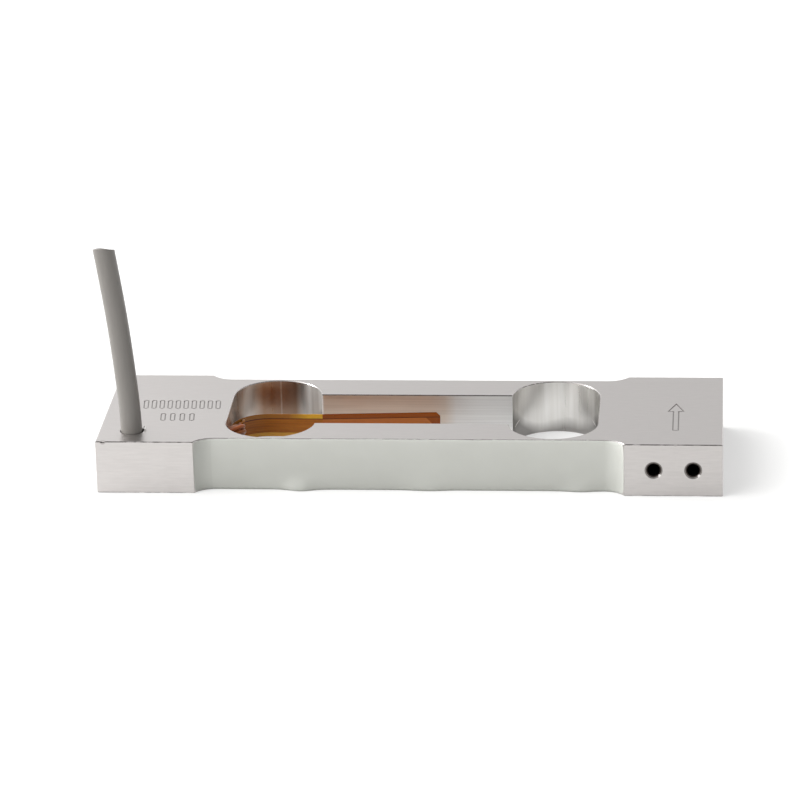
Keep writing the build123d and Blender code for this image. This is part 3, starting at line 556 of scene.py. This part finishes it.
# Lip: a bright burr that the drill threw up at the rim of the cable's hole
# fresh aluminium: torn clean, so brighter and smoother than the milled faces
freshAluminium, tree, shader, place = startMaterial("freshAluminium", {"Metallic": 1.0})
tear = addNode(tree, "ShaderNodeTexNoise", {"Scale": 1 / 0.2, "Detail": 2.0, "Vector": place})
shade = addNode(tree, "ShaderNodeMix", {"data_type": "RGBA", 0: tear, 6: linearColour("#efedea"),
                                        7: linearColour("#fbfaf8")})
tree.links.new(shade.outputs[2], shader.inputs["Base Color"])
rough = addNode(tree, "ShaderNodeMapRange", {"Value": tear, "To Min": 0.12, "To Max": 0.25})
tree.links.new(rough.outputs[0], shader.inputs["Roughness"])
lip = {"place": (-68.3, -15.9, 14.1), "size": (0.35, 0.5, 0.9)}
bm = bmesh.new()
bmesh.ops.create_icosphere(bm, subdivisions=3, radius=1.0)
for v in bm.verts:
    v.co *= 1 + 0.12 * noise.noise(v.co * 1.3)
    v.co = Vector([centre + reach * along for centre, reach, along in zip(lip["place"], lip["size"], v.co)]) * mm
addPiece("holeLip", bm, freshAluminium)

# Threads: the turns of the four M4 holes, standing in their tapping bores
thread = {
    "middleX": 67.5, "spacing": 10.0, "faceY": 25.0, "height": 7.0,
    "wall": 1.66, "crest": 1.52, "pitch": 0.7, "halfBase": 0.27, "turns": 14, "steps": 16, "start": 0.7,
}
bm = bmesh.new()
for side in (-1, 1):
    for place in (-0.5, 0.5):
        centre = Vector((-side * thread["middleX"] + place * thread["spacing"],
                         side * (thread["faceY"] - thread["start"]), thread["height"])) * mm
        profile = [(thread["wall"], -thread["halfBase"]), (thread["crest"], 0), (thread["wall"], thread["halfBase"])]
        verts = [bm.verts.new(centre + Vector((reach, -side * along, 0)) * mm) for reach, along in profile]
        edges = [bm.edges.new(pair) for pair in zip(verts, verts[1:])]
        bmesh.ops.spin(bm, geom=verts + edges, cent=centre, axis=(0, side, 0),
                       dvec=Vector((0, -side * thread["pitch"] / thread["steps"], 0)) * mm,
                       angle=2 * pi * thread["turns"], steps=thread["steps"] * thread["turns"])
bmesh.ops.recalc_face_normals(bm, faces=bm.faces)
addPiece("threadTurns", bm, milledAluminium)
print("threads cut")


# Polyimide film, laminated: amber, glossy and see-through where no copper lies under it
film = {
    "low": 2.3, "high": 8.5, "slotX": -25.0, "endX": 6.0, "skew": 0.75, "goldenSpan": (-34.0, -28.5),
    "margin": "#e6ab45",        # below the copper
    "copperWindow": "#a96217", "copperSlot": "#aa632c", "bandEnd": 10.0,  # sum of X and Z at its slanted end
    "edgeLine": "#5c2e0a",
    "topLeft": "#ab6e24", "topFree": "#e4ae2c", "topSlot": "#864209",
}
polyimideFilm, tree, shader, place = startMaterial("polyimideFilm", {"Roughness": 0.22, "IOR": 1.6,
                                                                     "Specular IOR Level": 0.22})
spot = addNode(tree, "ShaderNodeSeparateXYZ", {0: place})
rise = addNode(tree, "ShaderNodeMapRange", {"Value": spot.outputs["X"], "From Min": film["slotX"],
                                            "From Max": film["endX"], "To Max": film["skew"]})
level = addNode(tree, "ShaderNodeMath", {"operation": "SUBTRACT", 0: spot.outputs["Z"], 1: rise})
level = addNode(tree, "ShaderNodeMapRange", {"Value": level, "From Min": film["low"], "From Max": film["high"]})
free = addNode(tree, "ShaderNodeMath", {"operation": "LESS_THAN", 0: spot.outputs["X"], 1: film["slotX"]})
golden = addNode(tree, "ShaderNodeMapRange", {
    "Value": spot.outputs["X"], "From Min": film["goldenSpan"][0], "From Max": film["goldenSpan"][1]})
upper = addNode(tree, "ShaderNodeMix", {"data_type": "RGBA", 0: golden, 6: linearColour(film["topLeft"]),
                                        7: linearColour(film["topFree"])})
upper = addNode(tree, "ShaderNodeMix", {"data_type": "RGBA", 0: free, 6: linearColour(film["topSlot"]),
                                        7: upper.outputs[2]})
middle = addNode(tree, "ShaderNodeMix", {"data_type": "RGBA", 0: free, 6: linearColour(film["copperSlot"]),
                                         7: linearColour(film["copperWindow"])})
pastBand = addNode(tree, "ShaderNodeMath", {"operation": "ADD", 0: spot.outputs["X"], 1: spot.outputs["Z"]})
pastBand = addNode(tree, "ShaderNodeMath", {"operation": "GREATER_THAN", 0: pastBand, 1: film["bandEnd"]})
middle = addNode(tree, "ShaderNodeMix", {"data_type": "RGBA", 0: pastBand, 6: middle.outputs[2],
                                         7: linearColour(film["topSlot"])})
isLow = addNode(tree, "ShaderNodeMapRange", {"Value": level, "From Min": 0.15, "From Max": 0.2, "To Min": 1.0,
                                             "To Max": 0.0})
isHigh = addNode(tree, "ShaderNodeMapRange", {"Value": level, "From Min": 0.78, "From Max": 0.8})
edgeLine = addNode(tree, "ShaderNodeMath", {"operation": "COMPARE", 0: level, 1: 0.79, 2: 0.02})
shade = addNode(tree, "ShaderNodeMix", {"data_type": "RGBA", 0: isLow, 6: middle.outputs[2],
                                        7: linearColour(film["margin"])})
shade = addNode(tree, "ShaderNodeMix", {"data_type": "RGBA", 0: isHigh, 6: shade.outputs[2], 7: upper.outputs[2]})
shade = addNode(tree, "ShaderNodeMix", {"data_type": "RGBA", 0: edgeLine, 6: shade.outputs[2],
                                        7: linearColour(film["edgeLine"])})
tree.links.new(shade.outputs[2], shader.inputs["Base Color"])
clear = addNode(tree, "ShaderNodeMath", {"operation": "MAXIMUM", 0: isLow, 1: isHigh})
clear = addNode(tree, "ShaderNodeMath", {"operation": "MULTIPLY", 0: clear, 1: free})
clear = addNode(tree, "ShaderNodeMath", {"operation": "MULTIPLY", 0: clear, 1: 0.2})
tree.links.new(clear.outputs[0], shader.inputs["Transmission Weight"])

# copper traces under the same film: browner, with the sheen of rolled foil
coveredCopper, tree, shader, place = startMaterial("coveredCopper", {"Roughness": 0.25, "Metallic": 0.1,
                                                                     "Specular IOR Level": 0.3})
ripple = addNode(tree, "ShaderNodeMapping", {"Scale": (0.05, 0.05, 1.0), "Vector": place})
ripple = addNode(tree, "ShaderNodeTexNoise", {"Scale": 1 / 0.6, "Detail": 3.0, "Vector": ripple})
shade = addNode(tree, "ShaderNodeMix", {"data_type": "RGBA", 0: ripple, 6: linearColour("#80450b"),
                                        7: linearColour("#be7823")})
spot = addNode(tree, "ShaderNodeSeparateXYZ", {0: place})
stuck = addNode(tree, "ShaderNodeMath", {"operation": "GREATER_THAN", 0: spot.outputs["X"], 1: film["slotX"]})
shade = addNode(tree, "ShaderNodeMix", {"data_type": "RGBA", 0: stuck, 6: shade.outputs[2],
                                        7: linearColour(film["copperSlot"])})
tree.links.new(shade.outputs[2], shader.inputs["Base Color"])

# tin solder, reflowed under a skin of amber flux
fluxedSolder, tree, shader, place = startMaterial("fluxedSolder", {"Roughness": 0.22, "Metallic": 0.7})
flux = addNode(tree, "ShaderNodeTexNoise", {"Scale": 1 / 0.5, "Detail": 3.0, "Vector": place})
shade = addNode(tree, "ShaderNodeMix", {"data_type": "RGBA", 0: flux, 6: linearColour("#a8754a"),
                                        7: linearColour("#cfa985")})
tree.links.new(shade.outputs[2], shader.inputs["Base Color"])

# PVC and enamel insulation, extruded: one colour each, with the faint mottling of thin plastic, and
# amber from the flux inside the beam
insulation = {
    "red_insulation": ("redPvc", "#7d2a1c", "#8f3524"),
    "white_insulation": ("whitePvc", "#cfc8bb", "#ddd7ca"),
    "green_insulation": ("greenPvc", "#4b5426", "#5a632d"),
    "black_insulation": ("blackPvc", "#231d1b", "#302825"),
    "enamelled_wire": ("enamelledCopper", "#8a4a22", "#a3602f"),
}
amber = {"colour": "#a5571e", "share": 0.86, "topZ": 14.0}
finishes = {"milled_aluminium": milledAluminium, "white_silicone": whiteSilicone, "polyimide_film": polyimideFilm,
            "copper": coveredCopper, "solder": fluxedSolder, "grey_jacket": greyJacket}
for slotName, (name, low, high) in insulation.items():
    finishes[slotName], tree, shader, place = startMaterial(name, {"Roughness": 0.35, "IOR": 1.53})
    mottling = addNode(tree, "ShaderNodeTexNoise", {"Scale": 1 / 0.8, "Detail": 2.0, "Vector": place})
    shade = addNode(tree, "ShaderNodeMix", {"data_type": "RGBA", 0: mottling, 6: linearColour(low),
                                            7: linearColour(high)})
    spot = addNode(tree, "ShaderNodeSeparateXYZ", {0: place})
    tintShare = addNode(tree, "ShaderNodeMath", {"operation": "LESS_THAN", 0: spot.outputs["Z"], 1: amber["topZ"]})
    tintShare = addNode(tree, "ShaderNodeMath", {"operation": "MULTIPLY", 0: tintShare, 1: amber["share"]})
    shade = addNode(tree, "ShaderNodeMix", {"data_type": "RGBA", 0: tintShare, 6: shade.outputs[2],
                                            7: linearColour(amber["colour"])})
    tree.links.new(shade.outputs[2], shader.inputs["Base Color"])

# tinned copper braid, woven: bright strands crossing every 0.6 mm
tinnedBraid, tree, shader, place = startMaterial("tinnedBraid", {"Metallic": 1.0, "Roughness": 0.3})
weave = addNode(tree, "ShaderNodeTexWave", {"Scale": 1.6, "Distortion": 1.0, "bands_direction": "DIAGONAL",
                                            "Vector": place})
shade = addNode(tree, "ShaderNodeMix", {"data_type": "RGBA", 0: weave, 6: linearColour("#8c8985"),
                                        7: linearColour("#d0cdc8")})
tree.links.new(shade.outputs[2], shader.inputs["Base Color"])
finishes["tinned_braid"] = tinnedBraid

# constantan foil, etched: a dull yellowish grey with the etchant's fine bite
etchedFoil, tree, shader, place = startMaterial("etchedFoil", {"Metallic": 1.0, "Roughness": 0.35})
bite = addNode(tree, "ShaderNodeTexNoise", {"Scale": 1 / 0.1, "Detail": 2.0, "Vector": place})
shade = addNode(tree, "ShaderNodeMix", {"data_type": "RGBA", 0: bite, 6: linearColour("#a3977f"),
                                        7: linearColour("#b8ab92")})
tree.links.new(shade.outputs[2], shader.inputs["Base Color"])
finishes["foil_alloy"] = etchedFoil

# chip resistors: black glaze on ceramic, with tinned ends
chip = {"places": (-6.0, -12.0), "bodyHalf": 0.65}
chipResistor, tree, shader, place = startMaterial("chipResistor", {"Roughness": 0.3})
spot = addNode(tree, "ShaderNodeSeparateXYZ", {0: place})
glaze = None
for middle in chip["places"]:
    near = addNode(tree, "ShaderNodeMath", {"operation": "COMPARE", 0: spot.outputs["X"], 1: middle,
                                            2: chip["bodyHalf"]})
    glaze = addNode(tree, "ShaderNodeMath", {"operation": "MAXIMUM", 0: glaze, 1: near}) if glaze else near
shade = addNode(tree, "ShaderNodeMix", {"data_type": "RGBA", 0: glaze, 6: linearColour("#c9c6c0"),
                                        7: linearColour("#1f1f20")})
tree.links.new(shade.outputs[2], shader.inputs["Base Color"])
tinned = addNode(tree, "ShaderNodeMath", {"operation": "SUBTRACT", 0: 1.0, 1: glaze})
tree.links.new(tinned.outputs[0], shader.inputs["Metallic"])
finishes["chip_resistor"] = chipResistor

for subpart in frame["record"]["subparts"]:
    mesh = nodes[subpart["node"]].data
    mesh.materials.clear()
    mesh.materials.append(finishes[subpart["material_slot"]])
print("finishes set")
